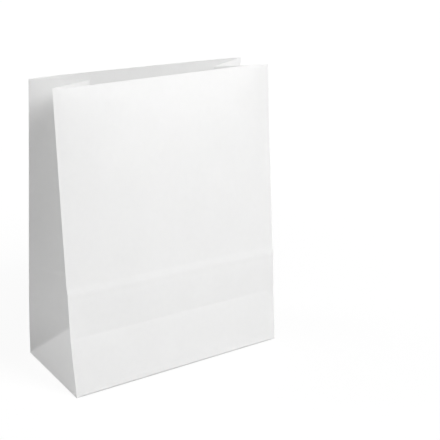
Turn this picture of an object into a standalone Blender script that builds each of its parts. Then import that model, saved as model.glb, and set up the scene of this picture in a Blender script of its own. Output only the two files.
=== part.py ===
"""A white paper bag with a flat base and a tucked fold down each side, standing open.

The bag is one sheet of paper. The sheet is glued into a tube along a lap on the rear panel.
Its lower end is folded flat and glued into the base, so the bag is one solid with one mouth.
The front is at -Y, the base rests on z = 0, and the origin is the middle of the base.
"""

import math

import bpy
import numpy as np

# Driving dimensions, in metres.
WIDTH = 0.203  # front and rear panels, from fold to fold
DEPTH = 0.095  # base from front to rear, and the paper in each side
HEIGHT = 0.254  # panels, from base to mouth along the paper
PAPER = 0.00015  # one thickness of paper

# How the standing bag has opened.
FRONT_SETBACK = 0.0244  # the mouth of the front panel, behind the front of the base
REAR_SETBACK = 0.0287  # the mouth of the rear panel, in front of the rear of the base
REAR_TWIST = 0.0012  # the right end of the rear mouth comes further forward, the left less
SIDE_LEAN = math.radians(28)  # the lowest triangle of each side, from upright
MOUTH_DROP = 0.0013  # the middle fold's top, below the corners of the mouth
SIDE_BELLY = 0.0015  # how far the tucked halves bulge at half their height
EDGE_SWELL = 0.0010  # how far the upright folds stand out near the base
FRONT_BOW = 0.0005  # the middle of the front mouth, behind a straight line
FRONT_SWAY = 0.0050  # the right of the front mouth stands back, the left comes forward
REAR_BOW = 0.0035  # the middle of the rear mouth, behind a straight line

# Marks that flat folding left in the front panel.
FOLD_LIFT = 0.0012  # the sharp fold, above half the depth
FOLD_SKEW = 0.0019  # its left end, above its right end
FOLD_DENT = 0.0014  # how far the fold stands inside a straight panel
MARK_SHORTFALL = 0.0063  # the pressed band, below one depth
MARK_SKEW = 0.0051  # its left end, above its right end
MARK_BAND = 0.0050  # sloping face of the band
MARK_FOOT = 0.0018  # short face under the band
MARK_RISE = 0.00035  # how far the band stands out

# Glued joints.
LAP_WIDTH = 0.014  # lap down the rear panel
LAP_PLACE = 0.030  # middle of the lap, right of the middle of the panel
LAP_EDGE = 0.0002  # run of the step at each edge of the lap
FLAP_OVERLAP = 0.009  # how far each base flap runs past the middle
BASE_LAYERS = 3  # thicknesses of paper in the base

# Fineness of the solid.
SIDE_STEPS = 5  # across each tucked half, and up its lowest triangle
FRONT_STEPS = 12
LAP_SIDE_STEPS = (6, 4)  # rear panel, left and right of the lap
FOOT_STEPS = 2  # from the fold to the band
UPPER_STEPS = 8  # from the band to the mouth

PAPER_COLOUR = (0.86, 0.86, 0.86, 1.0)
PAPER_ROUGHNESS = 0.62

FRONT = -1
REAR = 1


def clear_objects():
    """Remove every object from the scene."""
    for thing in list(bpy.data.objects):
        bpy.data.objects.remove(thing)


def paper_material():
    """Return the matt white paper."""
    material = bpy.data.materials.new("white_paper")
    material.use_nodes = True
    shader = material.node_tree.nodes["Principled BSDF"]
    shader.inputs["Base Color"].default_value = PAPER_COLOUR
    shader.inputs["Roughness"].default_value = PAPER_ROUGHNESS
    shader.inputs["Metallic"].default_value = 0.0
    material.diffuse_color = PAPER_COLOUR
    return material


def fold_height(face, across):
    """Return the height of the low fold. It is skewed on the front panel."""
    height = DEPTH / 2
    if face == FRONT:
        height = height + FOLD_LIFT - FOLD_SKEW / 2 * across
    return height


def mark_height(face, across):
    """Return the height of the middle of the pressed band."""
    height = DEPTH - MARK_SHORTFALL
    if face == FRONT:
        height = height - MARK_SKEW / 2 * across
    return height


def row_heights(fold, mark):
    """Return the heights of all rows of points, for one place around the bag."""
    crest = mark - MARK_BAND / 2
    foot = crest - MARK_FOOT
    top = mark + MARK_BAND / 2
    heights = [fold * step / SIDE_STEPS for step in range(SIDE_STEPS)]
    heights += [fold + (foot - fold) * step / FOOT_STEPS for step in range(FOOT_STEPS)]
    heights += [foot, crest]
    heights += [top + (HEIGHT - top) * step / UPPER_STEPS for step in range(UPPER_STEPS + 1)]
    return heights


def edge_swell(height):
    """Return how far an upright fold stands out sideways: most low down, none at either end."""
    rise = np.sqrt(np.clip(height / HEIGHT, 0, 1))
    return EDGE_SWELL * (4 * rise * (1 - rise)) ** 2


def front_relief(across, height):
    """Return how far the front panel is pushed in at its fold and out at its band."""
    fold = fold_height(FRONT, across)
    dent = np.minimum(height / fold, (HEIGHT - height) / (HEIGHT - fold))
    above = height - mark_height(FRONT, across)
    face = (MARK_BAND / 2 - above) / MARK_BAND
    foot = (above + MARK_BAND / 2 + MARK_FOOT) / MARK_FOOT
    band = np.clip(np.minimum(face, foot), 0, 1)
    return FOLD_DENT * dent - MARK_RISE * band


def panel_point(face, across, height):
    """Return points of the front or rear panel.

    across runs from -1 at the left fold to 1 at the right fold, and height is measured up
    the paper. The panel leans in, and its mouth bows gently.
    """
    setback = FRONT_SETBACK if face == FRONT else REAR_SETBACK
    share = height / HEIGHT
    rise = math.sqrt(HEIGHT**2 - setback**2) / HEIGHT
    flat_top = (1 - across**6) * share**2
    x = across * (WIDTH / 2 + edge_swell(height))
    if face == FRONT:
        bow = flat_top * (FRONT_BOW + FRONT_SWAY * across) + front_relief(across, height)
    else:
        bow = flat_top * REAR_BOW - REAR_TWIST * across * share
    y = face * (DEPTH / 2 - setback * share) + bow
    return np.stack([x, y, rise * height], axis=-1)


def middle_fold(side, height):
    """Return points of the fold down the middle of a side, above its lowest triangle.

    At the triangle's tip the triangle's lean sets how deep the fold is tucked. At the mouth
    each half of the side reaches straight across, and the depth between is in proportion.
    """
    half = DEPTH / 2
    share = (height - half) / (HEIGHT - half)
    front = panel_point(FRONT, side + 0.0 * height, height)
    rear = panel_point(REAR, side + 0.0 * height, height)
    centre = (front + rear) / 2
    corner_gap = DEPTH - FRONT_SETBACK - REAR_SETBACK
    mouth_tuck = math.sqrt(half**2 - (corner_gap / 2) ** 2)
    tip_tuck = half * math.sin(SIDE_LEAN)
    tip_drop = half - half * math.cos(SIDE_LEAN)
    tuck = tip_tuck + (mouth_tuck - tip_tuck) * share
    drop = tip_drop + (MOUTH_DROP - tip_drop) * share
    x = side * (WIDTH / 2 - tuck)
    return np.stack([x + 0.0 * height, centre[..., 1], centre[..., 2] - drop], axis=-1)


def low_side_point(side, face, inward, level):
    """Return points of a side below its low fold.

    inward runs from 0 at the panel to 1 at the middle, and level from 0 at the base to 1 at
    the tip of the triangle. A diagonal fold from the corner of the base to the tip divides
    the half: a flat triangle lies below it, and a leaf that joins the panel above it.
    """
    side_mid = np.array([side * WIDTH / 2, 0.0, 0.0])
    corner = panel_point(face, np.float64(side), np.float64(0))
    tip = middle_fold(side, np.float64(DEPTH / 2))
    if inward > level:
        return corner + (side_mid - corner) * inward + (tip - side_mid) * level
    edge = panel_point(face, np.float64(side), level * fold_height(face, np.float64(side)))
    if level == 0:
        return edge
    diagonal = corner + (tip - corner) * level
    return edge + (diagonal - edge) * inward / level


def high_side_point(side, face, inward, edge_height, middle_height):
    """Return points of a side above its low fold: lines from the panel to the middle fold."""
    edge = panel_point(face, np.float64(side), edge_height)
    middle = middle_fold(side, middle_height)
    share = np.clip((middle_height - DEPTH / 2) / (HEIGHT - DEPTH / 2), 0, 1)
    outward = np.cross(middle - edge, [0.0, 0.0, 1.0]) * side * face
    outward = outward / np.linalg.norm(outward)
    belly = SIDE_BELLY * 4 * inward * (1 - inward) * math.sin(math.pi * share)
    return edge + (middle - edge) * inward + outward * belly


def side_columns(side, face):
    """Return the columns of one half of a side, from the panel to the middle fold."""
    at_edge = row_heights(fold_height(face, side), mark_height(face, side))
    at_middle = row_heights(DEPTH / 2, mark_height(REAR, side))
    columns = []
    for step in range(SIDE_STEPS + 1):
        inward = step / SIDE_STEPS
        low = [low_side_point(side, face, inward, row / SIDE_STEPS) for row in range(SIDE_STEPS)]
        high = [
            high_side_point(side, face, inward, edge, middle)
            for edge, middle in zip(at_edge[SIDE_STEPS:], at_middle[SIDE_STEPS:])
        ]
        columns.append(np.array(low + high))
    return columns


def panel_columns(face, places):
    """Return the columns of a panel at the given places across it."""
    columns = []
    for across in places:
        heights = np.array(row_heights(fold_height(face, across), mark_height(face, across)))
        columns.append(panel_point(face, np.full(len(heights), across), heights))
    return columns


def lap_places():
    """Return the places across the rear panel where the lap's steps begin and end."""
    half = WIDTH / 2
    start = LAP_PLACE - LAP_WIDTH / 2
    end = LAP_PLACE + LAP_WIDTH / 2
    return [place / half for place in (start, start + LAP_EDGE, end - LAP_EDGE, end)]


def rear_places():
    """Return the places of the rear panel's columns, from left to right."""
    lap = lap_places()
    left = np.linspace(-1, lap[0], LAP_SIDE_STEPS[0] + 1)
    right = np.linspace(lap[3], 1, LAP_SIDE_STEPS[1] + 1)
    return [*left, lap[1], lap[2], *right]


def wall_columns():
    """Return the bag's columns in order, anticlockwise from the front left fold.

    The second result says how much the glued lap adds to the wall at each column.
    """
    front = panel_columns(FRONT, np.linspace(-1, 1, FRONT_STEPS + 1))
    places = rear_places()
    rear = panel_columns(REAR, places)
    lap = lap_places()
    added = [PAPER if lap[0] < place < lap[3] else 0.0 for place in places]
    right_front = side_columns(1, FRONT)
    right_rear = side_columns(1, REAR)
    left_front = side_columns(-1, FRONT)
    left_rear = side_columns(-1, REAR)
    columns = front + right_front[1:] + right_rear[::-1][1:]
    lead = len(columns) - 1
    columns += rear[::-1][1:] + left_rear[1:] + left_front[::-1][1:-1]
    extra = np.zeros(len(columns))
    extra[lead : lead + len(added)] = added[::-1]
    return np.array(columns), extra


def wall_triangles(columns, rows):
    """Return the triangles of the wall, whose last column meets its first.

    Each cell is cut along the diagonal that rises with the columns. In the halves that run
    from a middle fold back to a panel, the diagonal fold falls, so the cut falls too.
    """
    right_middle = FRONT_STEPS + SIDE_STEPS
    left_middle = columns - SIDE_STEPS
    triangles = []
    for column in range(columns):
        after = (column + 1) % columns
        falling = right_middle <= column < right_middle + SIDE_STEPS or left_middle <= column
        for row in range(rows - 1):
            low = (column * rows + row, after * rows + row)
            high = (column * rows + row + 1, after * rows + row + 1)
            if falling:
                triangles += [(low[0], low[1], high[0]), (low[1], high[1], high[0])]
            else:
                triangles += [(low[0], low[1], high[1]), (low[0], high[1], high[0])]
    return triangles


def inset(points, faces, base_points):
    """Return each point moved inwards by the thickness of every face that meets it.

    faces are triangles of points. base_points also lie on the base, which is thicker. Each
    move is the least one that clears all the faces around the point.
    """
    planes = [[] for _ in points]
    for triangle in faces:
        first, second, third = (points[corner] for corner in triangle)
        normal = np.cross(second - first, third - first)
        normal = normal / np.linalg.norm(normal)
        for corner in triangle:
            planes[corner].append((normal, PAPER))
    for corner in base_points:
        planes[corner].append((np.array([0.0, 0.0, -1.0]), BASE_LAYERS * PAPER))
    moved = []
    for point, around in zip(points, planes):
        normals = np.array([normal for normal, _ in around])
        depths = np.array([depth for _, depth in around])
        moved.append(point - np.linalg.pinv(normals, rcond=0.15) @ depths)
    return np.array(moved)


def base_faces(loop, add_point):
    """Return the faces of the underside, with the edges of its two flaps and its side folds.

    loop holds the points around the base, anticlockwise from the front left corner. The front
    flap is the lowest. The rear flap lies on it, one thickness higher where they meet, and
    the triangles folded in from the sides lie on both.
    """
    half_width = WIDTH / 2
    half_depth = DEPTH / 2
    front_right = FRONT_STEPS
    rear_right = front_right + 2 * SIDE_STEPS
    rear_left = len(loop) - 2 * SIDE_STEPS
    slope = PAPER / (half_depth - FLAP_OVERLAP)
    crossing = half_width - half_depth
    flap_end = crossing - FLAP_OVERLAP
    points = {}
    for side in (-1, 1):
        points[side, "low"] = add_point((side * crossing, 0.0, 0.0))
        points[side, "flap"] = add_point((side * crossing, 0.0, slope * half_depth))
        points[side, "side"] = add_point((side * crossing, 0.0, 2 * PAPER))
        points[side, "end low"] = add_point((side * flap_end, FLAP_OVERLAP, 0.0))
        points[side, "end flap"] = add_point((side * flap_end, FLAP_OVERLAP, PAPER))
    front_flap = [*loop[: front_right + 1], points[1, "low"], points[1, "end low"]]
    front_flap += [points[-1, "end low"], points[-1, "low"]]
    rear_flap = [*loop[rear_right : rear_left + 1], points[-1, "flap"], points[-1, "end flap"]]
    rear_flap += [points[1, "end flap"], points[1, "flap"]]
    right_fold = [*loop[front_right : rear_right + 1], points[1, "side"]]
    left_fold = [*loop[rear_left:], loop[0], points[-1, "side"]]
    across = [points[1, "end low"], points[1, "end flap"]]
    across += [points[-1, "end flap"], points[-1, "end low"]]
    faces = [front_flap, rear_flap, right_fold, left_fold, across]
    for side, front_corner, rear_corner in ((1, front_right, rear_right), (-1, 0, rear_left)):
        low = points[side, "low"]
        flap = points[side, "flap"]
        fold = points[side, "side"]
        steps = [
            [loop[front_corner], fold, flap, low],
            [loop[rear_corner], flap, fold],
            [points[side, "end low"], low, flap, points[side, "end flap"]],
        ]
        faces += [step if side > 0 else step[::-1] for step in steps]
    return [face[::-1] for face in faces]


def bag_mesh():
    """Return the bag's closed mesh: outer wall, inner wall, rim, underside and floor."""
    columns, extra = wall_columns()
    count, rows = columns.shape[:2]
    wall = columns.reshape(-1, 3)
    triangles = wall_triangles(count, rows)
    bottom = [column * rows for column in range(count)]
    inner = inset(wall, triangles, bottom)
    outer = wall + np.stack([0 * wall[:, 0], np.repeat(extra, rows), 0 * wall[:, 2]], axis=-1)
    vertices = [*outer, *inner]
    shift = len(wall)

    def add_point(point):
        vertices.append(np.array(point))
        return len(vertices) - 1

    faces = [list(triangle) for triangle in triangles]
    faces += [[corner + shift for corner in triangle[::-1]] for triangle in triangles]
    for column in range(count):
        here = column * rows + rows - 1
        after = (column + 1) % count * rows + rows - 1
        faces.append([here, after, after + shift, here + shift])
    faces += base_faces(bottom, add_point)
    faces.append([corner + shift for corner in bottom])
    mesh = bpy.data.meshes.new("paper_bag")
    mesh.from_pydata([tuple(vertex) for vertex in vertices], [], faces)
    mesh.validate()
    mesh.update()
    return mesh


def paper_bag():
    """Add the bag to the scene."""
    bag = bpy.data.objects.new("paper_bag", bag_mesh())
    bag.data.materials.append(paper_material())
    bpy.context.scene.collection.objects.link(bag)
    return bag


clear_objects()
paper_bag()
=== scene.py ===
"""A white paper bag with a flat base and a tucked fold down each side, standing open.

The bag is one sheet, worked out as a surface of two lengths on the flat paper: how far around
the bag a point lies, from the front left fold, and how far up it lies from the base.
"""

import logging
import math
from collections.abc import Callable
from dataclasses import dataclass
from enum import Enum
from typing import Any, NamedTuple

import bpy
import numpy as np
from mathutils import Matrix, Vector

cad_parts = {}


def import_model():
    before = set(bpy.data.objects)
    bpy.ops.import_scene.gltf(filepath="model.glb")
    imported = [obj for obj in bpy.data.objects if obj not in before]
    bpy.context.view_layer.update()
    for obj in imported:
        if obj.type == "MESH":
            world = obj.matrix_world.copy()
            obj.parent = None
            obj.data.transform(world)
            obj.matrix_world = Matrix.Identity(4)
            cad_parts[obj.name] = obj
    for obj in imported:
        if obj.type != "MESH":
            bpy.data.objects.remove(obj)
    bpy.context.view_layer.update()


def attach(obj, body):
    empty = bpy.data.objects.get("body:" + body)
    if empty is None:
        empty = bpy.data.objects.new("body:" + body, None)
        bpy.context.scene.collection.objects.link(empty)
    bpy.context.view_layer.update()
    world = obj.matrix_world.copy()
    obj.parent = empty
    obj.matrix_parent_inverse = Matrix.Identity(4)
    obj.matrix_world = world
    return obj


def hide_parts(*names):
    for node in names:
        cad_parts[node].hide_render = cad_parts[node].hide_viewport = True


Array = np.ndarray
Colour = tuple[float, float, float, float]
Place = tuple[float, float, float]
LOG = logging.getLogger("paper_bag")


class Face(Enum):
    """The two flat panels, by the sign of the direction that they look in."""

    FRONT = -1
    REAR = 1


class Section(Enum):
    """The six parts of the sheet between upright folds, anticlockwise seen from above."""

    FRONT = 0
    RIGHT_FRONT = 1
    RIGHT_REAR = 2
    REAR = 3
    LEFT_REAR = 4
    LEFT_FRONT = 5


@dataclass(frozen=True)
class BagSizes:
    """Sizes of the bag in metres, as the solid has them."""

    width: float = 0.203
    depth: float = 0.095
    height: float = 0.254
    paper: float = 0.00015
    front_setback: float = 0.0244
    rear_setback: float = 0.0287
    rear_twist: float = 0.0012
    side_lean: float = math.radians(28)
    mouth_drop: float = 0.0013
    side_belly: float = 0.0015
    edge_swell: float = 0.0010
    front_bow: float = 0.0005
    front_sway: float = 0.0050
    rear_bow: float = 0.0035
    fold_lift: float = 0.0012
    fold_skew: float = 0.0019
    fold_dent: float = 0.0014
    mark_shortfall: float = 0.0063
    mark_skew: float = 0.0051
    lap_width: float = 0.014
    lap_place: float = 0.030
    lap_edge: float = 0.0002
    lap_foot: float = 0.001
    flap_overlap: float = 0.009
    base_layers: int = 3

    @property
    def half(self) -> float:
        """Return half the depth, which is the width of each tucked half."""
        return self.depth / 2

    @property
    def around(self) -> float:
        """Return the length of paper around the bag."""
        return 2 * (self.width + self.depth)

    def starts(self) -> list[float]:
        """Return where each section starts around the bag, and where the last ends.

        Returns:
            Seven lengths from the front left fold.
        """
        width = self.width
        depth = self.depth
        half = self.half
        front = [0.0, width, width + half]
        rear = [width + depth, 2 * width + depth, 2 * width + depth + half]
        return [*front, *rear, self.around]


@dataclass(frozen=True)
class SoftPaper:
    """Small bends and ripples of the real paper, in metres, that the solid leaves out.

    The band's shape is a list of places above its middle, each with how far it stands out.
    A ripple wave has a weight, and its turns across the panel, up it and from front to rear.
    """

    fold_round: float = 0.0003
    base_round: float = 0.0003
    ripple: float = 0.00022
    ripple_turn: float = 0.9
    ripple_waves: tuple[tuple[float, ...], ...] = (
        (1.0, 5.3, 4.1, 1.0),
        (0.6, 9.7, -7.3, 2.0),
        (0.4, 3.1, 16.0, -1.0),
    )
    mouth_crown: float = 0.36
    mouth_draw: float = 0.0006
    side_press: float = 0.6
    pinch: float = 0.0014
    pinch_above: float = 0.022
    pinch_below: float = 0.008
    band_shape: tuple[tuple[float, float], ...] = (
        (-0.0400, 0.0),
        (-0.0110, 0.00084),
        (-0.0075, 0.00062),
        (-0.0040, 0.00108),
        (-0.0023, 0.00114),
        (0.0030, 0.0),
    )
    base_roll: float = 0.0004
    base_roll_height: float = 0.006
    base_roll_fade: float = 0.030
    tuck_mark_place: float = 0.0413
    tuck_mark_rise: float = 0.00018
    tuck_mark_width: float = 0.003
    tuck_mark_reach: float = 0.10
    base_lift: float = 0.0006
    base_lift_run: float = 0.009
    base_lift_fade: float = 0.025


class BagSurface:
    """Points of the bag's outer and inner faces, for any place on the flat sheet."""

    fold_step = 0.0004
    normal_step = 0.0005
    least_level = 1e-6
    low_levels = (0.06, 61)
    high_levels = (0.064, 49)
    patch = ((-1.0, 1.0), (-0.5, 2.0), (0.0, 2.0), (0.5, 2.0), (1.0, 1.0))

    def __init__(self, sizes: BagSizes, soft: SoftPaper) -> None:
        """Keep the sizes.

        Args:
            sizes: the bag's sizes.
            soft: the small bends of its paper.
        """
        self.sizes = sizes
        self.soft = soft

    def fold_height(self, face: Face, across: Array) -> Array:
        """Return the height of the low fold: half the depth, lifted and skewed on the front.

        Args:
            face: the panel.
            across: place across it, -1 at the left fold to 1 at the right.

        Returns:
            Heights up the paper.
        """
        size = self.sizes
        if face is Face.FRONT:
            return size.half + size.fold_lift - size.fold_skew / 2 * across
        return size.half + 0.0 * across

    def mark_height(self, face: Face, across: Array) -> Array:
        """Return the height of the pressed band's middle: a little under one depth.

        Args:
            face: the panel.
            across: place across it, -1 at the left fold to 1 at the right.

        Returns:
            Heights up the paper.
        """
        size = self.sizes
        level = size.depth - size.mark_shortfall + 0.0 * across
        if face is Face.FRONT:
            level = level - size.mark_skew / 2 * across
        return level

    def edge_swell(self, height: Array) -> Array:
        """Return how far an upright fold stands out: a hump, most at a quarter of the height.

        With r the root of the share of the height, it is (4 r (1 - r)) squared.

        Args:
            height: heights up the paper.

        Returns:
            Lengths outwards.
        """
        rise = np.sqrt(np.clip(height / self.sizes.height, 0, 1))
        return self.sizes.edge_swell * (4 * rise * (1 - rise)) ** 2

    def pressed_band(self, face: Face, across: Array, height: Array) -> Array:
        """Return how far the pressed band stands out: straight lines between its listed points.

        Args:
            face: the panel, whose band may be skewed.
            across: place across the panel, -1 to 1.
            height: heights up the paper.

        Returns:
            Lengths outwards.
        """
        places, rises = np.transpose(self.soft.band_shape)
        return np.interp(height - self.mark_height(face, across), places, rises)

    def front_relief(self, across: Array, height: Array) -> Array:
        """Return how far the front is pushed in at its marks.

        A tent peaks at the low fold, with a sharper pinch there that dies away exponentially.
        The band stands out. A roll at the base follows 1 - (1 - h)^2 and dies away above.
        Near the mouth, the edge of each tuck has left an upright mark: a ridge at the right,
        a groove at the left, both bell-shaped. Pinch and roll fade at the side folds, by
        1 - across^8.

        Args:
            across: place across the panel, -1 to 1.
            height: heights up the paper.

        Returns:
            Lengths towards the rear.
        """
        size = self.sizes
        soft = self.soft
        fold = self.fold_height(Face.FRONT, across)
        dent = np.minimum(height / fold, (size.height - height) / (size.height - fold))
        reach = np.where(height > fold, soft.pinch_above, soft.pinch_below)
        pinch = soft.pinch * np.exp(-np.abs(height - fold) / reach)
        band = self.pressed_band(Face.FRONT, across, height)
        low = np.clip(height / soft.base_roll_height, 0, 1)
        higher = np.maximum(height - soft.base_roll_height, 0)
        roll = soft.base_roll * (1 - (1 - low) ** 2) * np.exp(-higher / soft.base_roll_fade)
        from_mark = (1 - np.abs(across)) * size.width / 2 - soft.tuck_mark_place
        ridge = np.sign(across) * np.exp(-((from_mark / soft.tuck_mark_width) ** 2))
        fade = np.clip(1 - (size.height - height) / soft.tuck_mark_reach, 0, 1)
        held = 1 - across**8
        return size.fold_dent * dent + held * (pinch + roll) - band - soft.tuck_mark_rise * ridge * fade

    def ripple(self, face: Face, across: Array, height: Array) -> Array:
        """Return the paper's gentle ripple: three crossed waves, still at the folds and base.

        Args:
            face: the panel.
            across: place across it, -1 to 1.
            height: heights up the paper.

        Returns:
            Lengths towards the rear.
        """
        turn = self.soft.ripple_turn * face.value
        share = height / self.sizes.height
        waves = 0.0
        for weight, sideways, upward, turns in self.soft.ripple_waves:
            waves = waves + weight * np.sin(sideways * across + upward * share + turns * turn)
        still = (1 - across**2) * np.sin(np.pi * np.clip(share, 0, 1)) ** 0.5
        return self.soft.ripple * waves * still

    def panel_point(self, face: Face, across: Array, height: Array) -> Array:
        """Return points of the front or rear panel.

        The panel is a plane that leans in by its setback. Its mouth is bowed by a length
        times the square of the share of the height and, in front, 1 - across^2. The front
        mouth also rises there by a share of that length times across^2 - across^6.

        Args:
            face: the panel.
            across: place across it, -1 at the left fold to 1 at the right.
            height: heights up the paper.

        Returns:
            Points, in the last axis.
        """
        size = self.sizes
        setback = size.front_setback if face is Face.FRONT else size.rear_setback
        share = height / size.height
        rise = math.sqrt(size.height**2 - setback**2) / size.height
        x = across * (size.width / 2 + self.edge_swell(height))
        z = rise * height
        if face is Face.FRONT:
            x = x + self.soft.mouth_draw * share**3 * (1 - across) / 2
            length = (size.front_bow + size.front_sway * across) * share**2
            bow = length * (1 - across**2) + self.front_relief(across, height)
            z = z + self.soft.mouth_crown * length * (across**2 - across**6)
        else:
            bow = size.rear_bow * (1 - across**6) * share**2 - size.rear_twist * across * share
        y = face.value * (size.half - setback * share) + bow + self.ripple(face, across, height)
        return np.stack([x, y, z], axis=-1)

    def middle_fold(self, side: int, height: Array) -> Array:
        """Return points of the fold down the middle of a side, above its lowest triangle.

        Depth of the tuck and drop below the panels' folds both run straight from the
        triangle's tip to the mouth.

        Args:
            side: -1 for the left side, 1 for the right.
            height: heights up the paper.

        Returns:
            Points, in the last axis.
        """
        size = self.sizes
        half = size.half
        share = (height - half) / (size.height - half)
        front = self.panel_point(Face.FRONT, side + 0.0 * height, height)
        rear = self.panel_point(Face.REAR, side + 0.0 * height, height)
        centre = (front + rear) / 2
        corner_gap = size.depth - size.front_setback - size.rear_setback
        mouth_tuck = math.sqrt(half**2 - (corner_gap / 2) ** 2)
        tip_tuck = half * math.sin(size.side_lean)
        tip_drop = half - half * math.cos(size.side_lean)
        tuck = tip_tuck + (mouth_tuck - tip_tuck) * share
        drop = tip_drop + (size.mouth_drop - tip_drop) * share
        x = side * (size.width / 2 - tuck)
        return np.stack([x, centre[..., 1], centre[..., 2] - drop], axis=-1)

    def side_point(self, side: int, face: Face, inward: Array, height: Array) -> Array:
        """Return points of one half of a side.

        Below the low fold, the diagonal from the corner of the base to the triangle's tip
        divides a flat triangle from the leaf that joins the panel. Above it, straight lines
        run from the panel to the middle fold, and bulge by 4 u (1 - u). The pressed band
        crosses them too.

        Args:
            side: -1 for the left side, 1 for the right.
            face: the panel that this half joins.
            inward: 0 at the panel to 1 at the middle fold.
            height: heights up the paper.

        Returns:
            Points, in the last axis.
        """
        size = self.sizes
        at_edge = side + 0.0 * inward
        edge_fold = self.fold_height(face, at_edge)
        fold = edge_fold + (size.half - edge_fold) * inward
        level = np.clip(height / fold, 0, 1)
        beyond = np.maximum(height - fold, 0) / (size.height - fold)
        zero = 0.0 * inward
        middle_side = np.array([side * size.width / 2, 0.0, 0.0])
        corner = self.panel_point(face, at_edge, zero)
        tip = self.middle_fold(side, size.half + zero)
        flat = corner + (middle_side - corner) * inward[..., None]
        flat = flat + (tip - middle_side) * level[..., None]
        edge = self.panel_point(face, at_edge, level * edge_fold)
        diagonal = corner + (tip - corner) * level[..., None]
        along = np.minimum(inward / np.maximum(level, self.least_level), 1)
        leaf = edge + (diagonal - edge) * along[..., None]
        low = np.where((inward > level)[..., None], flat, leaf)
        upper_edge = self.panel_point(face, at_edge, edge_fold + beyond * (size.height - edge_fold))
        middle = self.middle_fold(side, size.half + beyond * (size.height - size.half))
        outward = np.cross(middle - upper_edge, [0.0, 0.0, 1.0]) * side * face.value
        outward = outward / np.linalg.norm(outward, axis=-1, keepdims=True)
        belly = size.side_belly * np.sin(np.pi * beyond)
        belly = belly + self.soft.side_press * self.pressed_band(face, at_edge, height)
        belly = 4 * inward * (1 - inward) * belly
        high = upper_edge + (middle - upper_edge) * inward[..., None] + outward * belly[..., None]
        return np.where((height < fold)[..., None], low, high)

    def section_point(self, section: Section, along: Array, height: Array) -> Array:
        """Return points of one section, whose formulas also hold a little past its folds.

        Below zero height the paper is turned in under the base, so it runs level.

        Args:
            section: the section.
            along: length from the section's first fold.
            height: heights up the paper.

        Returns:
            Points, in the last axis.
        """
        size = self.sizes
        above = np.maximum(height, 0)
        under = np.maximum(-height, 0)
        if section is Section.FRONT:
            points = self.panel_point(Face.FRONT, 2 * along / size.width - 1, above)
            turn = (0.0, 1.0, 0.0)
        elif section is Section.REAR:
            points = self.panel_point(Face.REAR, 1 - 2 * along / size.width, above)
            turn = (0.0, -1.0, 0.0)
        else:
            side = 1 if section in (Section.RIGHT_FRONT, Section.RIGHT_REAR) else -1
            face = Face.FRONT if section in (Section.RIGHT_FRONT, Section.LEFT_FRONT) else Face.REAR
            inward = along / size.half
            if section in (Section.RIGHT_REAR, Section.LEFT_FRONT):
                inward = 1 - inward
            points = self.side_point(side, face, inward, above)
            turn = (-1.0 * side, 0.0, 0.0)
        return points + under[..., None] * np.array(turn)

    def outer(self, around: Array, height: Array) -> Array:
        """Return points of the outer face, with sharp folds.

        Args:
            around: length around the bag from the front left fold, wrapped past the end.
            height: heights up the paper.

        Returns:
            Points, in the last axis.
        """
        starts = self.sizes.starts()
        around = np.mod(around, self.sizes.around)
        points = np.zeros((*around.shape, 3))
        for section in Section:
            start = starts[section.value]
            inside = (around >= start) & (around < starts[section.value + 1])
            points[inside] = self.section_point(section, around[inside] - start, height[inside])
        return points

    def setback(self, before: Section, after: Section, height: Array) -> Array:
        """Return how far from a fold the inner faces of two sections meet.

        It is the paper's thickness times the tangent of half the angle that the sheet turns
        through at the fold, which is negative where the fold points into the bag.

        Args:
            before: the section that ends at the fold.
            after: the section that starts there.
            height: heights up the paper.

        Returns:
            Lengths along the paper.
        """
        step = self.fold_step
        starts = self.sizes.starts()
        length = starts[before.value + 1] - starts[before.value]
        level = np.maximum(height, 3 * step)
        end = length + 0.0 * level
        fold = self.section_point(before, end, level)
        arriving = fold - self.section_point(before, end - step, level)
        leaving = self.section_point(after, step + 0.0 * level, level) - fold
        upward = self.section_point(before, end, level + step) - fold
        upward = upward / np.linalg.norm(upward, axis=-1, keepdims=True)
        arriving = arriving - upward * (arriving * upward).sum(-1, keepdims=True)
        leaving = leaving - upward * (leaving * upward).sum(-1, keepdims=True)
        turned = (np.cross(arriving, leaving) * upward).sum(-1)
        straight = (arriving * leaving).sum(-1)
        return self.sizes.paper * np.tan(np.arctan2(turned, straight) / 2)

    def section_normal(self, section: Section, along: Array, height: Array) -> Array:
        """Return outward unit normals of one section, from small steps in its own formulas.

        Args:
            section: the section.
            along: length from the section's first fold.
            height: heights up the paper.

        Returns:
            Unit vectors, in the last axis.
        """
        step = self.normal_step
        level = np.maximum(height, step)
        sideways = self.section_point(section, along + step, level)
        sideways = sideways - self.section_point(section, along - step, level)
        upward = self.section_point(section, along, level + step)
        upward = upward - self.section_point(section, along, level - step)
        normal = np.cross(sideways, upward)
        return normal / np.linalg.norm(normal, axis=-1, keepdims=True)

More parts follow.
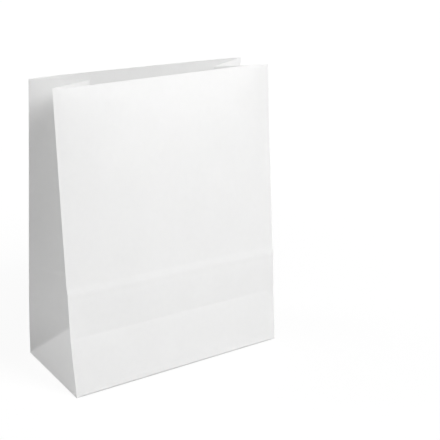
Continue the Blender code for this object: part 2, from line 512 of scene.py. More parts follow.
    def inner(self, around: Array, height: Array) -> Array:
        """Return points of the inner face: each section moved in by the paper's thickness.

        The section is first drawn in to where its inner face meets its neighbours', and its
        lowest point lies on the layers of the base.

        Args:
            around: length around the bag from the front left fold, wrapped past the end.
            height: heights up the paper.

        Returns:
            Points, in the last axis.
        """
        size = self.sizes
        starts = size.starts()
        around = np.mod(around, size.around)
        floor = size.base_layers * size.paper
        level = floor + np.maximum(height, 0) * (size.height - floor) / size.height
        points = np.zeros((*around.shape, 3))
        count = len(Section)
        low = np.linspace(0, *self.low_levels)
        high = np.linspace(self.high_levels[0], size.height, self.high_levels[1])
        samples = np.concatenate([low, high])
        for section in Section:
            start = starts[section.value]
            length = starts[section.value + 1] - start
            inside = (around >= start) & (around < start + length)
            here = level[inside]
            before = self.setback(Section((section.value - 1) % count), section, samples)
            after = self.setback(section, Section((section.value + 1) % count), samples)
            first = np.interp(here, samples, before)
            last = np.interp(here, samples, after)
            along = first + (around[inside] - start) * (length - first - last) / length
            normal = self.section_normal(section, along, here)
            points[inside] = self.section_point(section, along, here) - size.paper * normal
        return points

    def rounded(
        self, face: Callable[[Array, Array], Array], around: Array, height: Array
    ) -> Array:
        """Return a face with its folds rounded: its weighted mean over a small patch.

        Args:
            face: the method that gives the sharp face.
            around: length around the bag from the front left fold.
            height: heights up the paper.

        Returns:
            Points, in the last axis.
        """
        total = sum(weight for _, weight in self.patch) ** 2
        points = np.zeros((*around.shape, 3))
        for sideways, weight in self.patch:
            for upward, other in self.patch:
                moved = around + sideways * self.soft.fold_round
                raised = height + upward * self.soft.base_round
                points += weight * other / total * face(moved, raised)
        return points


@dataclass(frozen=True)
class MeshStations:
    """Places of the mesh's columns and rows, in metres from a fold, the band or the mouth.

    The turned-in rows are shares of the base's rounding.
    """

    near_fold: tuple[float, ...] = (0.0, 0.00015, 0.0003, 0.0005, 0.0008, 0.0013, 0.0022, 0.0036)
    pitch: float = 0.0024
    upper_pitch: float = 0.0028
    above_band: tuple[float, ...] = (0.0, 0.001, 0.0025, 0.004)
    below_mouth: float = 0.001
    turned_in: tuple[float, ...] = (-1.0, -0.66, -0.33)
    sharp_angle: float = math.radians(50)

    def between(self, length: float, pitch: float) -> Array:
        """Return places from one fold to the next, close together near both.

        Args:
            length: distance between the folds.
            pitch: spacing far from them.

        Returns:
            Places from 0 to length, both included.
        """
        near = np.array(self.near_fold)
        count = max(2, round((length - 2 * near[-1]) / pitch))
        middle = np.linspace(near[-1], length - near[-1], count + 1)[1:-1]
        return np.concatenate([near, middle, length - near[::-1]])


class PointStore:
    """Points of a mesh, which come in groups and get numbers."""

    def __init__(self) -> None:
        """Start with no points."""
        self.groups: list[Array] = []
        self.count = 0

    def add(self, points: Array) -> Array:
        """Keep a group of points.

        Args:
            points: the points, in the last axis.

        Returns:
            Their numbers, arranged as the points are.
        """
        numbers = self.count + np.arange(points[..., 0].size).reshape(points.shape[:-1])
        self.groups.append(points.reshape(-1, 3))
        self.count += numbers.size
        return numbers

    def points(self) -> Array:
        """Return all points in order."""
        return np.concatenate(self.groups)


def real_triangles(triangles: Array) -> Array:
    """Return the triangles that have three different points."""
    first, second, third = triangles.T
    return triangles[(first != second) & (second != third) & (third != first)]


def grid_triangles(grid: Array) -> Array:
    """Return the triangles of a grid of point numbers, two to a cell.

    Args:
        grid: numbers by column and row. Columns to the right and rows ahead face upwards.

    Returns:
        Triangles of point numbers.
    """
    near = grid[:-1, :-1].ravel()
    right = grid[1:, :-1].ravel()
    far = grid[1:, 1:].ravel()
    ahead = grid[:-1, 1:].ravel()
    first = np.stack([near, right, far], axis=1)
    return real_triangles(np.concatenate([first, np.stack([near, far, ahead], axis=1)]))


def zipped(first: Array, second: Array, first_places: Array, second_places: Array) -> Array:
    """Return a strip of triangles between two lines of points that run the same way.

    The further places of both lines are taken in one order, and each gives the triangle of its
    point with the last point reached on either line.

    Args:
        first: point numbers of the line on the left of the strip.
        second: point numbers of the line on its right.
        first_places: places of the first line's points, from 0 to 1.
        second_places: places of the second line's points.

    Returns:
        Triangles of point numbers.
    """
    on_first = np.arange(len(first) + len(second) - 2) < len(first) - 1
    order = np.argsort(np.concatenate([first_places[1:], second_places[1:]]), kind="stable")
    on_first = on_first[order]
    here = np.cumsum(on_first)
    there = np.cumsum(~on_first)
    reached = np.where(on_first, first[here], second[there])
    left = first[here - on_first]
    right = second[there - ~on_first]
    return real_triangles(np.stack([left, right, reached], axis=1))


def travelled(points: Array) -> Array:
    """Return the share of a line's length, seen from above, at each of its points.

    Args:
        points: the line's points.

    Returns:
        Shares from 0 to 1.
    """
    steps = np.linalg.norm(np.diff(points[:, :2], axis=0), axis=1)
    length = np.concatenate([[0.0], np.cumsum(steps)])
    return length / length[-1]


class FoldedBase:
    """The flaps of the base, as a surface inside a loop of points around it.

    Each flap is a grid that runs from its fold towards the middle. The steps between flaps
    of different levels are strips.
    """

    shares = np.array([0.0, 0.04, 0.10, 0.22, 0.38, 0.56, 0.74, 0.90, 1.0])
    sooner = np.append(0.98 * shares, 0.99)

    def __init__(self, sizes: BagSizes, store: PointStore, places: Array) -> None:
        """Keep what the flaps are laid out by.

        Args:
            sizes: the bag's sizes.
            store: takes the flaps' points.
            places: length around the bag of every column, without the closing one.
        """
        self.sizes = sizes
        self.store = store
        self.places = places
        self.crossing = sizes.width / 2 - sizes.half
        starts = sizes.starts()
        folds = (Section.RIGHT_FRONT, Section.REAR, Section.LEFT_REAR)
        self.corners = [int(np.searchsorted(places, starts[fold.value])) for fold in folds]

    def sides(self, loop: Array) -> list[Array]:
        """Return the loop's stretches in front, at the right, behind and at the left.

        Args:
            loop: point numbers, anticlockwise from the front left corner.

        Returns:
            Four stretches, which share their corners.
        """
        closed = np.concatenate([loop, loop[:1]])
        ends = [0, *self.corners, len(loop)]
        return [closed[start : end + 1] for start, end in zip(ends, ends[1:])]

    def flap(self, fold: Array, targets: Array, shares: Array) -> Array:
        """Lay a flap: straight rows from points of the fold to their targets.

        Args:
            fold: point numbers along the fold.
            targets: where each column ends, with the flap's level.
            shares: places of the rows from 0 at the fold to 1.

        Returns:
            Point numbers by column and row.
        """
        base = self.store.points()[fold]
        rows = base[:, None] + (targets - base)[:, None] * shares[None, 1:, None]
        rows[..., 2] = targets[:, None, 2]
        return np.concatenate([fold[:, None], self.store.add(rows)], axis=1)

    def tuck(self, fold: Array, side: int, level: float) -> Array:
        """Lay a side's triangle, whose columns all end in its tip.

        Args:
            fold: point numbers along the fold.
            side: -1 for the left side, 1 for the right.
            level: the triangle's height.

        Returns:
            Point numbers by column and row.
        """
        tip = np.array([side * self.crossing, 0.0, level])
        grid = self.flap(fold, np.broadcast_to(tip, (len(fold), 3)), self.shares[:-1])
        last = self.store.add(tip[None])
        return np.concatenate([grid, np.broadcast_to(last, (len(fold), 1))], axis=1)

    def across(self, face: Face) -> Array:
        """Return the places across a panel of its columns.

        Args:
            face: the panel.

        Returns:
            Places from -1 at the left to 1 at the right, in the columns' order.
        """
        first, second, third = self.corners
        size = self.sizes
        if face is Face.FRONT:
            return 2 * self.places[: first + 1] / size.width - 1
        along = self.places[second : third + 1] - size.starts()[Section.REAR.value]
        return 1 - 2 * along / size.width

    def floor(self, loop: Array) -> Array:
        """Return the floor inside: two flaps that meet in the middle, a paper lower than the tucks.

        Args:
            loop: point numbers around it, anticlockwise from the front left corner.

        Returns:
            Triangles that face upwards.
        """
        front_fold, right_fold, rear_fold, left_fold = self.sides(loop)
        top = self.sizes.base_layers * self.sizes.paper
        low = top - self.sizes.paper
        ends = self.across(Face.FRONT) * self.crossing
        targets = np.stack([ends, 0 * ends, 0 * ends + low], axis=1)
        front = self.flap(front_fold, targets, self.shares)
        rear = self.flap(rear_fold, targets[::-1], self.shares[:-1])
        rear = np.concatenate([rear, front[::-1, -1:]], axis=1)
        right = self.tuck(right_fold, 1, top)
        left = self.tuck(left_fold, -1, top)
        around = [front, right, rear, left, front]
        faces = [grid_triangles(grid) for grid in around[:4]]
        for before, after in zip(around[:4], around[1:]):
            faces.append(zipped(before[-1], after[0], self.shares, self.shares))
        return np.concatenate(faces)

    def underside(self, loop: Array) -> Array:
        """Return the underside: the front flap lowest, the rear flap on it, the tucks on both.

        The front flap runs past the middle and narrows at 45 degrees all the way, so the rear
        flap shows up to the front flap's end and slanting sides.

        Args:
            loop: point numbers around it, anticlockwise from the front left corner.

        Returns:
            Triangles that face downwards.
        """
        size = self.sizes
        front_fold, right_fold, rear_fold, left_fold = self.sides(loop)
        middle = size.half / (size.half + size.flap_overlap)
        front_shares = np.concatenate([self.shares * middle, [(1 + middle) / 2, 1.0]])
        ends = self.across(Face.FRONT) * (self.crossing - size.flap_overlap)
        targets = np.stack([ends, 0 * ends + size.flap_overlap, 0 * ends], axis=1)
        front = self.flap(front_fold, targets, front_shares)
        ends = self.across(Face.REAR) * self.crossing
        reach = np.minimum(size.flap_overlap, self.crossing - np.abs(ends))
        rear = self.flap(rear_fold, np.stack([ends, reach, 0 * ends + size.paper], 1), self.shares)
        right = self.tuck(right_fold, 1, 2 * size.paper)
        left = self.tuck(left_fold, -1, 2 * size.paper)
        faces = [grid_triangles(grid) for grid in (front, right, rear, left)]
        count = len(self.shares)
        faces.append(zipped(right[-1], rear[0], self.shares, self.shares))
        faces.append(zipped(rear[-1], left[0], self.shares, self.shares))
        right_line = np.append(right[0], rear[0, -1])
        left_line = np.append(left[-1], rear[-1, -1])
        faces.append(zipped(front[-1, :count], right_line, self.shares, self.sooner))
        faces.append(zipped(left_line, front[0, :count], self.sooner, self.shares))
        end = np.concatenate([front[0, count - 1 :], front[1:-1, -1], front[-1, : count - 2 : -1]])
        behind = rear[::-1, -1]
        points = self.store.points()
        faces.append(zipped(behind, end, travelled(points[behind]), travelled(points[end])))
        return np.concatenate(faces)[:, ::-1]


class Wall(NamedTuple):
    """The wall's columns, and the heights and points of its outer and inner faces."""

    columns: Array
    outer_heights: Array
    inner_heights: Array
    outer: Array
    inner: Array


class PaperBag:
    """The bag: its wall with both faces, the rim, the folded underside and the floor."""

    def __init__(self, sizes: BagSizes, soft: SoftPaper, stations: MeshStations) -> None:
        """Keep the sizes.

        Args:
            sizes: the bag's sizes.
            soft: the small bends of its paper.
            stations: the places of the mesh's columns and rows.
        """
        self.sizes = sizes
        self.soft = soft
        self.stations = stations
        self.surface = BagSurface(sizes, soft)

    def lap_edges(self) -> tuple[float, float]:
        """Return where the glued lap starts and ends, along the rear section.

        Returns:
            Two lengths from the section's first fold.
        """
        size = self.sizes
        middle = size.width / 2 - size.lap_place
        return middle - size.lap_width / 2, middle + size.lap_width / 2

    def columns(self) -> Array:
        """Return the places around the bag of all columns, and of the closing one.

        The front has the same columns as the rear, the other way round.

        Returns:
            Lengths from the front left fold.
        """
        size = self.sizes
        starts = size.starts()
        places = []
        for section in Section:
            start = starts[section.value]
            length = starts[section.value + 1] - start
            along = self.stations.between(length, self.stations.pitch)
            if section in (Section.FRONT, Section.REAR):
                first, last = self.lap_edges()
                step = size.lap_edge
                edges = np.array([first, first + step, last - step, last])
                if section is Section.FRONT:
                    edges = length - edges
                clear = np.abs(along[:, None] - edges[None, :]).min(1) > step
                along = np.sort(np.concatenate([along[clear], edges]))
            places.append(start + along[:-1])
        return np.concatenate([*places, [size.around]])

    def row_shares(self) -> tuple[Array, Array, Array]:
        """Return the shares of the rows up to the low fold, up to the band, and up to the mouth.

        Returns:
            Three lists of shares, each of its own stretch.
        """
        size = self.sizes
        stations = self.stations
        mark = size.depth - size.mark_shortfall
        low = stations.between(size.half, stations.pitch) / size.half
        foot = stations.between(mark - size.half, stations.pitch) / (mark - size.half)
        rest = size.height - mark
        near = np.array(stations.above_band)
        start = near[-1] + stations.upper_pitch
        rows = np.arange(start, rest - 2 * stations.below_mouth, stations.upper_pitch)
        high = np.concatenate([near, rows, [rest - stations.below_mouth, rest]]) / rest
        return low[:-1], foot[:-1], high

    def heights(self, columns: Array) -> Array:
        """Return the height of every point: the rows follow the low fold and the band.

        Args:
            columns: places around the bag.

        Returns:
            One line of heights for each column.
        """
        size = self.sizes
        levels = []
        for height_of in (self.surface.fold_height, self.surface.mark_height):
            left, right = height_of(Face.FRONT, np.array([-1.0, 1.0]))
            rear = height_of(Face.REAR, np.ones(4))
            levels.append(np.interp(columns, size.starts(), [left, right, *rear, left])[:, None])
        fold, mark = levels
        low, foot, high = self.row_shares()
        parts = [fold * low, fold + (mark - fold) * foot, mark + (size.height - mark) * high]
        return np.concatenate(parts, axis=1)

    def wall(self) -> Wall:
        """Work out the wall. The lap stands out by a paper's thickness, above its foot.

        Returns:
            The wall.
        """
        size = self.sizes
        columns = self.columns()
        inner_heights = self.heights(columns[:-1])
        turned = self.soft.base_round * np.array(self.stations.turned_in)
        low = np.broadcast_to(turned, (len(inner_heights), len(turned)))
        outer_heights = np.concatenate([low, inner_heights], axis=1)
        around = columns[:-1, None]
        surface = self.surface
        outer = surface.rounded(surface.outer, around + 0.0 * outer_heights, outer_heights)
        inner = surface.rounded(surface.inner, around + 0.0 * inner_heights, inner_heights)
        first, last = self.lap_edges()
        along = columns[:-1] - size.starts()[Section.REAR.value]
        step = size.lap_edge
        lap = np.interp(along, [first, first + step, last - step, last], [0.0, 1.0, 1.0, 0.0])
        outer[..., 1] += size.paper * lap[:, None] * np.clip(outer_heights / size.lap_foot, 0, 1)
        return Wall(columns, outer_heights, inner_heights, outer, inner)

    def wall_triangles(self, columns: Array, rows: int) -> tuple[Array, Array]:
        """Return the triangles of one face of the wall, and the column of every corner.

        Each cell is cut along the diagonal that rises with the columns. In the halves that
        run from a middle fold back to a panel, the diagonal fold falls, so the cut falls too.

        Args:
            columns: places around the bag, with the closing one.
            rows: number of rows.

        Returns:
            Triangles of point numbers, and the same triangles of column numbers.
        """
        count = len(columns) - 1
        column, row = np.meshgrid(np.arange(count), np.arange(rows - 1), indexing="ij")
        column = column.ravel()
        row = row.ravel()
        starts = self.sizes.starts()
        middle = (columns[:-1] + columns[1:]) / 2
        right = (middle > starts[Section.RIGHT_REAR.value]) & (middle < starts[Section.REAR.value])
        falling = (right | (middle > starts[Section.LEFT_FRONT.value]))[column]
        first = np.stack([column, column + 1, column + 1 - falling], axis=1)
        first_rows = np.stack([row, row, row + 1], axis=1)
        other = np.stack([column + falling, column + 1, column], axis=1)
        other_rows = np.stack([row, row + 1, row + 1], axis=1)
        corner_columns = np.concatenate([first, other])
        corner_rows = np.concatenate([first_rows, other_rows])
        points = corner_columns % count * rows + corner_rows
        return points, corner_columns

    def settled(self, points: Array) -> Array:
        """Lift the middle of the base a little, so that the bag stands on its corners and sides.

        The lift rises from the sides as 3 t^2 - 2 t^3, and dies away up the panels.

        Args:
            points: the bag's points.

        Returns:
            The points, moved upwards.
        """
        soft = self.soft
        inward = np.clip((self.sizes.width / 2 - np.abs(points[:, 0])) / soft.base_lift_run, 0, 1)
        lift = soft.base_lift * inward**2 * (3 - 2 * inward)
        moved = points.copy()
        moved[:, 2] += lift * np.clip(1 - points[:, 2] / soft.base_lift_fade, 0, 1)
        return moved

    def build(self, material: bpy.types.Material) -> bpy.types.Object:
        """Build the bag, dress it and place it in the frame.

        Args:
            material: the paper's finish.

        Returns:
            The bag's object.
        """
        wall = self.wall()
        columns = wall.columns
        count = len(columns) - 1
        store = PointStore()
        outer = store.add(wall.outer)
        inner = store.add(wall.inner)
        outer_faces, outer_columns = self.wall_triangles(columns, outer.shape[1])
        inner_faces, inner_columns = self.wall_triangles(columns, inner.shape[1])
        around = np.arange(count + 1)
        top = np.stack([outer[around % count, -1], inner[around % count, -1]], axis=1)
        rim = grid_triangles(top)
        rim_columns = grid_triangles(np.stack([around, around + count + 1], axis=1)) % (count + 1)
        base = FoldedBase(self.sizes, store, columns[:-1])
        underside = base.underside(outer[:, 0])
        floor = base.floor(inner[:, 0])
        faces = [outer_faces, inner_faces[:, ::-1] + outer.size, rim, underside, floor]
        points = self.settled(store.points())
        mesh = bpy.data.meshes.new("folded_paper_bag")
        mesh.from_pydata(points.tolist(), [], np.concatenate(faces).tolist())
        mesh.polygons.foreach_set("use_smooth", np.ones(len(mesh.polygons), bool))
        mesh.set_sharp_from_angle(angle=self.stations.sharp_angle)
        heights = np.zeros(len(points))
        wall_heights = [wall.outer_heights.ravel(), wall.inner_heights.ravel()]
        heights[: outer.size + inner.size] = np.concatenate(wall_heights)
        wall_columns = [outer_columns.ravel(), inner_columns[:, ::-1].ravel(), rim_columns.ravel()]
        self.add_sheet_map(mesh, points, heights, columns[np.concatenate(wall_columns)])
        mesh.materials.append(material)
        mesh.update()
        bag = bpy.data.objects.new("folded_paper_bag", mesh)
        bpy.context.scene.collection.objects.link(bag)
        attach(bag, "root")
        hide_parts("paper_bag")
        return bag

    def add_sheet_map(
        self, mesh: bpy.types.Mesh, points: Array, heights: Array, places: Array
    ) -> None:
        """Give the mesh its place on the flat sheet as a UV map, in metres.

        The wall's corners lie at their length around the bag and their height. The base's
        corners lie below them, at their x and y.

        Args:
            mesh: the bag's mesh.
            points: all its points.
            heights: height on the sheet of each point.
            places: length around the bag of each corner of the wall and rim.
        """
        corners = np.zeros(len(mesh.loops), int)
        mesh.loops.foreach_get("vertex_index", corners)
        sheet = np.stack([points[corners, 0], points[corners, 1] - self.sizes.depth], axis=1)
        sheet[: len(places), 0] = places
        sheet[: len(places), 1] = heights[corners[: len(places)]]
        layer = mesh.uv_layers.new(name="sheet")
        layer.data.foreach_set("uv", sheet.ravel())


class Shade:
    """A number in a material, as a socket, so that Python's operators add Math nodes."""

    def __init__(self, tree: bpy.types.NodeTree, socket: bpy.types.NodeSocket) -> None:
        """Keep the socket.

        Args:
            tree: the material's nodes.
            socket: the output that carries the number.
        """
        self.tree = tree
        self.socket = socket

    def math(self, operation: str, *operands: Any, clamp: bool = False) -> "Shade":
        """Add a Math node.

        Args:
            operation: the node's operation.
            operands: its values or numbers, in order.
            clamp: whether the result is kept between 0 and 1.

        Returns:
            The result.
        """
        node = self.tree.nodes.new("ShaderNodeMath")
        node.operation = operation
        node.use_clamp = clamp
        for index, value in enumerate(operands):
            if isinstance(value, Shade):
                self.tree.links.new(value.socket, node.inputs[index])
            else:
                node.inputs[index].default_value = float(value)
        return Shade(self.tree, node.outputs[0])

    def __add__(self, other: Any) -> "Shade":
        """Return the sum."""
        return self.math("ADD", self, other)

    def __radd__(self, other: float) -> "Shade":
        """Return the sum with a number before."""
        return self.math("ADD", other, self)

    def __sub__(self, other: Any) -> "Shade":
        """Return the difference."""
        return self.math("SUBTRACT", self, other)

    def __rsub__(self, other: float) -> "Shade":
        """Return a number less this value."""
        return self.math("SUBTRACT", other, self)

    def __mul__(self, other: Any) -> "Shade":
        """Return the product."""
        return self.math("MULTIPLY", self, other)

    def __rmul__(self, other: float) -> "Shade":
        """Return the product with a number before."""
        return self.math("MULTIPLY", other, self)

    def __truediv__(self, other: Any) -> "Shade":
        """Return the quotient."""
        return self.math("DIVIDE", self, other)

    def __rtruediv__(self, other: float) -> "Shade":
        """Return a number over this value."""
        return self.math("DIVIDE", other, self)

    def __abs__(self) -> "Shade":
        """Return the value without its sign."""
        return self.math("ABSOLUTE", self)

    def larger(self, other: Any) -> "Shade":
        """Return the larger of two values."""
        return self.math("MAXIMUM", self, other)

    def clamped(self) -> "Shade":
        """Return the value kept between 0 and 1."""
        return self.math("ADD", self, 0.0, clamp=True)


class ShaderNodes:
    """The nodes of one material or surround, with one method that makes any node."""

    def __init__(self, owner: bpy.types.Material | bpy.types.World) -> None:
        """Start with no nodes.

        Args:
            owner: the material or the surround.
        """
        owner.use_nodes = True
        self.owner = owner
        self.tree = owner.node_tree
        self.tree.nodes.clear()

    def node(
        self, kind: str, settings: dict[str, Any] | None = None, inputs: dict | None = None
    ) -> bpy.types.Node:
        """Make a node.

        Args:
            kind: the node's type.
            settings: the node's own settings, set first.
            inputs: values or links of its sockets, by name or number.

        Returns:
            The node.
        """
        node = self.tree.nodes.new(kind)
        for name, value in (settings or {}).items():
            setattr(node, name, value)
        for key, value in (inputs or {}).items():
            if isinstance(value, Shade):
                self.tree.links.new(value.socket, node.inputs[key])
            elif isinstance(value, bpy.types.NodeSocket):
                self.tree.links.new(value, node.inputs[key])
            else:
                node.inputs[key].default_value = value
        return node

    def value(self, socket: bpy.types.NodeSocket) -> Shade:
        """Wrap an output that carries a number."""
        return Shade(self.tree, socket)


@dataclass(frozen=True)
class WhitePaper:
    """White uncoated kraft paper, with clouds and formation in the sheet, fibres and grain.

    Scales are in waves to the metre. Tones move the colour towards the shade colour.
    """

    colour: Colour = (0.94, 0.94, 0.935, 1.0)
    shade_colour: Colour = (0.85, 0.85, 0.845, 1.0)
    roughness: float = 0.62
    gloss: float = 0.35
    translucency: float = 0.45
    light_reach: float = 0.0005
    cloud_scale: Place = (38.0, 38.0, 24.0)
    formation_scale: Place = (260.0, 260.0, 190.0)
    fibre_scale: Place = (5200.0, 1500.0, 1.0)
    grain_scale: Place = (9000.0, 6000.0, 1.0)
    cloud_detail: float = 3.0
    formation_detail: float = 3.0
    fibre_detail: float = 4.0
    grain_detail: float = 2.0
    shade_tone: float = 0.18
    cloud_tone: float = 0.30
    formation_tone: float = 0.30
    fibre_tone: float = 0.18
    formation_rough: float = 0.10
    fibre_rough: float = 0.12
    fibre_relief: float = 0.6
    grain_relief: float = 0.5
    formation_relief: float = 1.6
    relief_strength: float = 0.12
    relief_depth: float = 0.00006

    def noise(
        self, nodes: ShaderNodes, source: bpy.types.NodeSocket, scale: Place, detail: float
    ) -> Shade:
        """Add noise that is centred on zero.

        Args:
            nodes: the material's nodes.
            source: the place that the noise is read at.
            scale: how much that place is stretched each way.
            detail: the noise's detail.

        Returns:
            The noise.
        """
        stretched = nodes.node("ShaderNodeMapping", {}, {"Vector": source, "Scale": scale})
        node = nodes.node(
            "ShaderNodeTexNoise",
            {"noise_dimensions": "3D"},
            {"Vector": stretched.outputs[0], "Scale": 1.0, "Detail": detail},
        )
        return nodes.value(node.outputs[0]) - 0.5

    def build(self) -> bpy.types.Material:
        """Build the material.

        Returns:
            The paper's material.
        """
        nodes = ShaderNodes(bpy.data.materials.new("white_paper"))
        sheet = nodes.node("ShaderNodeUVMap", {"uv_map": "sheet"}).outputs["UV"]
        place = nodes.node("ShaderNodeTexCoord").outputs["Object"]
        clouds = self.noise(nodes, place, self.cloud_scale, self.cloud_detail)
        formation = self.noise(nodes, place, self.formation_scale, self.formation_detail)
        fibres = self.noise(nodes, sheet, self.fibre_scale, self.fibre_detail)
        grain = self.noise(nodes, sheet, self.grain_scale, self.grain_detail)
        tone = self.shade_tone + self.cloud_tone * clouds + self.formation_tone * formation
        mix = nodes.node(
            "ShaderNodeMix",
            {"data_type": "RGBA", "blend_type": "MIX"},
            {
                "Factor": (tone + self.fibre_tone * fibres).clamped(),
                6: self.colour,
                7: self.shade_colour,
            },
        )
        rough = self.roughness + self.formation_rough * formation + self.fibre_rough * fibres
        relief = self.fibre_relief * fibres + self.grain_relief * grain
        bump = nodes.node(
            "ShaderNodeBump",
            {},
            {
                "Height": relief + self.formation_relief * formation,
                "Strength": self.relief_strength,
                "Distance": self.relief_depth,
            },
        )
        shader = nodes.node(
            "ShaderNodeBsdfPrincipled",
            {},
            {
                "Base Color": mix.outputs[2],
                "Roughness": rough,
                "Normal": bump.outputs["Normal"],
                "Metallic": 0.0,
                "Specular IOR Level": self.gloss,
                "Subsurface Weight": self.translucency,
                "Subsurface Radius": (1.0, 1.0, 1.0),
                "Subsurface Scale": self.light_reach,
            },
        )
        nodes.node("ShaderNodeOutputMaterial", {}, {"Surface": shader.outputs["BSDF"]})
        return nodes.owner


@dataclass(frozen=True)
class Lamp:
    """A soft square lamp that looks at the bag from a direction.

    The azimuth is the turn to the right of straight in front, in degrees.
    """

    name: str
    azimuth: float
    elevation: float
    power: float
    size: float


LAMPS = (
    Lamp("key", 25.0, 37.0, 36.5, 1.0),
    Lamp("left fill", -95.0, 5.0, 4.5, 1.2),
    Lamp("rear fill", -135.0, 30.0, 14.5, 1.0),
)


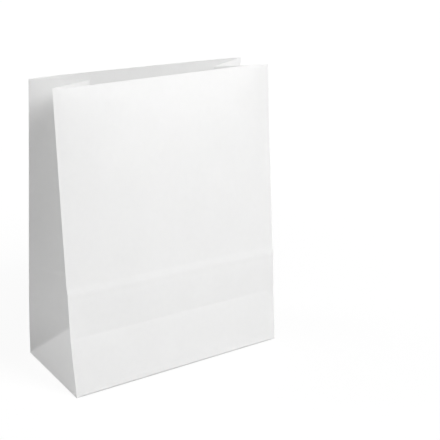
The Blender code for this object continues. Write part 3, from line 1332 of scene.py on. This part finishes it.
@dataclass(frozen=True)
class Studio:
    """The plain pale floor, the soft lamps, the surround and the camera."""

    lamps: tuple[Lamp, ...] = LAMPS
    lamp_distance: float = 2.2
    ambient: float = 0.25
    aim: Place = (0.0, 0.0, 0.12)
    floor_half: float = 6.0
    floor_drop: float = 0.0001
    floor_colour: Colour = (0.98, 0.98, 0.98, 1.0)
    # The floor's colour for bounced light. The camera also sees it under the bag's base, where it is
    # painted shade.
    floor_bounce_and_painted_shade: Colour = (0.8, 0.8, 0.8, 1.0)
    floor_glow: float = 0.88
    floor_white: float = 1.02
    shadow_reach: tuple[float, float] = (0.15, 0.7)
    footprint: tuple[float, float] = (0.1015, 0.0475)
    footprint_edge: float = 0.0005
    focal_pixels: float = 954.711
    image_pixels: float = 440.0
    sensor: float = 36.0
    nearest: float = 0.01
    yaw: float = -0.598926
    pitch: float = 0.345946
    roll: float = 0.017900
    place: Place = (-0.394113, -0.679649, 0.405244)

    def add_camera(self) -> bpy.types.Object:
        """Add the camera at the photograph's place and angle.

        Its axes are a level frame pitched down, rolled about its line of sight, and turned
        about the upright.

        Returns:
            The camera's object.
        """
        right = Vector((1.0, 0.0, 0.0))
        forward = Vector((0.0, math.cos(self.pitch), -math.sin(self.pitch)))
        up = Vector((0.0, math.sin(self.pitch), math.cos(self.pitch)))
        level = math.cos(self.roll)
        tilt = math.sin(self.roll)
        turn = Matrix.Rotation(self.yaw, 3, "Z")
        axes = [turn @ (level * right + tilt * up), turn @ (level * up - tilt * right)]
        axes = [*axes, turn @ -forward]
        matrix = Matrix(axes).transposed().to_4x4()
        matrix.translation = Vector(self.place)
        data = bpy.data.cameras.new("camera")
        data.sensor_width = self.sensor
        data.lens = self.focal_pixels / self.image_pixels * self.sensor
        data.clip_start = self.nearest
        camera = bpy.data.objects.new("camera", data)
        camera.matrix_world = matrix
        bpy.context.scene.collection.objects.link(camera)
        bpy.context.scene.camera = camera
        return camera

    def add_lamp(self, lamp: Lamp) -> bpy.types.Object:
        """Add a lamp at its direction from the bag, turned towards it.

        Args:
            lamp: the lamp.

        Returns:
            The lamp's object.
        """
        data = bpy.data.lights.new(lamp.name, "AREA")
        data.shape = "SQUARE"
        data.size = lamp.size
        data.energy = lamp.power
        azimuth = math.radians(lamp.azimuth)
        elevation = math.radians(lamp.elevation)
        level = math.cos(elevation)
        sideways = level * math.sin(azimuth)
        direction = Vector((sideways, -level * math.cos(azimuth), math.sin(elevation)))
        thing = bpy.data.objects.new(lamp.name, data)
        thing.location = Vector(self.aim) + direction * self.lamp_distance
        thing.rotation_euler = direction.to_track_quat("Z", "Y").to_euler()
        bpy.context.scene.collection.objects.link(thing)
        return thing

    def add_surround(self) -> None:
        """Light the bag evenly from all around, and show the camera plain white."""
        nodes = ShaderNodes(bpy.data.worlds.new("surround"))
        colour = (1.0, 1.0, 1.0, 1.0)
        path = nodes.node("ShaderNodeLightPath").outputs["Is Camera Ray"]
        soft = nodes.node("ShaderNodeBackground", {}, {"Color": colour, "Strength": self.ambient})
        white = nodes.node("ShaderNodeBackground", {}, {"Color": colour, "Strength": 1.0})
        shown = {0: path, 1: soft.outputs[0], 2: white.outputs[0]}
        mix = nodes.node("ShaderNodeMixShader", {}, shown)
        nodes.node("ShaderNodeOutputWorld", {}, {"Surface": mix.outputs[0]})
        bpy.context.scene.world = nodes.owner

    def add_floor(self) -> bpy.types.Object:
        """Add the floor, which shows white to the camera and keeps the bag's shadow.

        The white fades in with the distance. The white and the floor's pale colour both stop at the
        edge of the bag's base. Under the base the camera sees the darker bounce colour instead, painted
        shade on top of the real shadow, so that the gap under its front looks dark.

        Returns:
            The floor's object.
        """
        nodes = ShaderNodes(bpy.data.materials.new("floor"))
        seen = nodes.value(nodes.node("ShaderNodeLightPath").outputs["Is Camera Ray"])
        place = nodes.node("ShaderNodeTexCoord").outputs["Object"]
        length = nodes.node("ShaderNodeVectorMath", {"operation": "LENGTH"}, {0: place})
        near, far = self.shadow_reach
        away = ((nodes.value(length.outputs["Value"]) - near) / (far - near)).clamped()
        parts = nodes.node("ShaderNodeSeparateXYZ", {}, {0: place}).outputs
        beside = abs(nodes.value(parts["X"])) - self.footprint[0]
        before = abs(nodes.value(parts["Y"])) - self.footprint[1]
        # Mask that is 0 under the bag's base, where the white and the pale floor colour give way to
        # painted shade.
        clear = (beside.larger(before) / self.footprint_edge).clamped()
        glow = seen * clear * (self.floor_glow + (1 - self.floor_glow) * away)
        # Painted shade: under the base the camera sees the darker bounce colour instead of the pale
        # floor colour.
        colour = nodes.node(
            "ShaderNodeMix",
            {"data_type": "RGBA"},
            {"Factor": seen * clear, 6: self.floor_bounce_and_painted_shade, 7: self.floor_colour},
        )
        matt = nodes.node("ShaderNodeBsdfDiffuse", {}, {"Color": colour.outputs[2]})
        white = nodes.node("ShaderNodeEmission", {}, {"Strength": self.floor_white})
        mix = nodes.node(
            "ShaderNodeMixShader", {}, {0: glow, 1: matt.outputs[0], 2: white.outputs[0]}
        )
        nodes.node("ShaderNodeOutputMaterial", {}, {"Surface": mix.outputs[0]})
        half = self.floor_half
        drop = -self.floor_drop
        corners = [(-half, -half, drop), (half, -half, drop), (half, half, drop)]
        corners = [*corners, (-half, half, drop)]
        mesh = bpy.data.meshes.new("floor")
        mesh.from_pydata(corners, [], [(0, 1, 2, 3)])
        mesh.materials.append(nodes.owner)
        floor = bpy.data.objects.new("floor", mesh)
        bpy.context.scene.collection.objects.link(floor)
        return floor

    def build(self) -> None:
        """Build the studio and set how the picture shows colour."""
        bpy.context.scene.view_settings.view_transform = "Standard"
        self.add_camera()
        self.add_surround()
        self.add_floor()
        for lamp in self.lamps:
            self.add_lamp(lamp)


def main() -> None:
    """Load the solid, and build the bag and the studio."""
    logging.basicConfig(level=logging.INFO, format="%(message)s")
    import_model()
    Studio().build()
    bag = PaperBag(BagSizes(), SoftPaper(), MeshStations()).build(WhitePaper().build())
    LOG.info("%s: %d faces", bag.name, len(bag.data.polygons))


if __name__ == "__main__":
    main()
